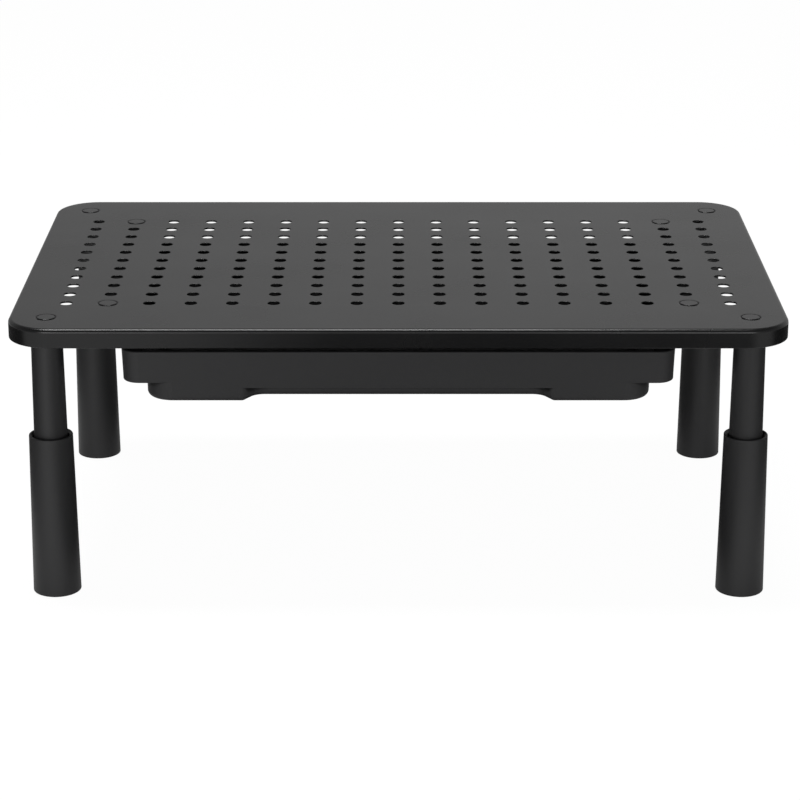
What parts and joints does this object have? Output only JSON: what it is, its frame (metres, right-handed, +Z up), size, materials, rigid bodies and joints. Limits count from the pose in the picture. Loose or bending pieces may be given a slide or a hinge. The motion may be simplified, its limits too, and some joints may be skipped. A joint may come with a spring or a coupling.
{
  "type": "monitor stand with drawer",
  "caption": "Perforated rectangular platform on telescoping round legs, with a shallow pull-out drawer on rails under its front, for raising a screen over a desk.",
  "frame": {"origin": "on the desk, under the middle of the platform", "axes": "+Z up, +X to the right of someone facing the drawer, +Y towards the back; the drawer opens to -Y"},
  "size_m": [0.37, 0.236, 0.1402],
  "materials": {
    "powder_coated_steel": "satin black powder coat with a fine even texture",
    "powder_coated_studs": "steel studs clinched into the sheet and powder coated with it",
    "zinc_plated_steel": "bright zinc plate",
    "rail_plastic": "moulded black plastic, matte",
    "brass": "turned",
    "drawer_plastic": "moulded black plastic, matte",
    "leg_plastic": "moulded black plastic, satin",
    "spring_steel": "bright rolled strip",
    "pad_rubber": "moulded, matte",
    "button_plastic": "moulded black plastic, satin"
  },
  "bodies": {
    "platform": {"top_plate": "powder_coated_steel", "leg_studs": "powder_coated_studs", "rail_studs": "powder_coated_studs", "rail_nuts": "zinc_plated_steel", "rail_left": "rail_plastic", "rail_right": "rail_plastic", "post_inserts": "brass", "leg_post_front_left": "leg_plastic", "leg_post_front_right": "leg_plastic", "leg_post_back_left": "leg_plastic", "leg_post_back_right": "leg_plastic", "button_spring_front_left": "spring_steel", "button_spring_front_right": "spring_steel", "button_spring_back_left": "spring_steel", "button_spring_back_right": "spring_steel"},
    "drawer": {"drawer_tray": "drawer_plastic"},
    "sleeve_front_left": {"leg_sleeve_front_left": "leg_plastic", "foot_pad_front_left": "pad_rubber"},
    "button_front_left": {"lock_button_front_left": "button_plastic"},
    "sleeve_front_right": {"leg_sleeve_front_right": "leg_plastic", "foot_pad_front_right": "pad_rubber"},
    "button_front_right": {"lock_button_front_right": "button_plastic"},
    "sleeve_back_left": {"leg_sleeve_back_left": "leg_plastic", "foot_pad_back_left": "pad_rubber"},
    "button_back_left": {"lock_button_back_left": "button_plastic"},
    "sleeve_back_right": {"leg_sleeve_back_right": "leg_plastic", "foot_pad_back_right": "pad_rubber"},
    "button_back_right": {"lock_button_back_right": "button_plastic"}
  },
  "joints": [
    {"name": "drawer_slide", "type": "slide", "parent": "platform", "child": "drawer", "axis": [0, -1, 0], "range_m": [0, 0.14]},
    {"name": "front_left_sleeve_slide", "type": "slide", "parent": "platform", "child": "sleeve_front_left", "axis": [0, 0, 1], "range_m": [0, 0.04], "deforming": ["lock_button_front_left"]},
    {"name": "front_left_button_press", "type": "slide", "parent": "platform", "child": "button_front_left", "axis": [0, -1, 0], "range_m": [0, 0.0028], "stiffness_N_per_m": 1500, "springref_m": -0.002, "deforming": ["button_spring_front_left"]},
    {"name": "front_right_sleeve_slide", "type": "slide", "parent": "platform", "child": "sleeve_front_right", "axis": [0, 0, 1], "range_m": [0, 0.04], "deforming": ["lock_button_front_right"]},
    {"name": "front_right_button_press", "type": "slide", "parent": "platform", "child": "button_front_right", "axis": [0, -1, 0], "range_m": [0, 0.0028], "stiffness_N_per_m": 1500, "springref_m": -0.002, "deforming": ["button_spring_front_right"]},
    {"name": "back_left_sleeve_slide", "type": "slide", "parent": "platform", "child": "sleeve_back_left", "axis": [0, 0, 1], "range_m": [0, 0.04], "deforming": ["lock_button_back_left"]},
    {"name": "back_left_button_press", "type": "slide", "parent": "platform", "child": "button_back_left", "axis": [0, -1, 0], "range_m": [0, 0.0028], "stiffness_N_per_m": 1500, "springref_m": -0.002, "deforming": ["button_spring_back_left"]},
    {"name": "back_right_sleeve_slide", "type": "slide", "parent": "platform", "child": "sleeve_back_right", "axis": [0, 0, 1], "range_m": [0, 0.04], "deforming": ["lock_button_back_right"]},
    {"name": "back_right_button_press", "type": "slide", "parent": "platform", "child": "button_back_right", "axis": [0, -1, 0], "range_m": [0, 0.0028], "stiffness_N_per_m": 1500, "springref_m": -0.002, "deforming": ["button_spring_back_right"]}
  ]
}
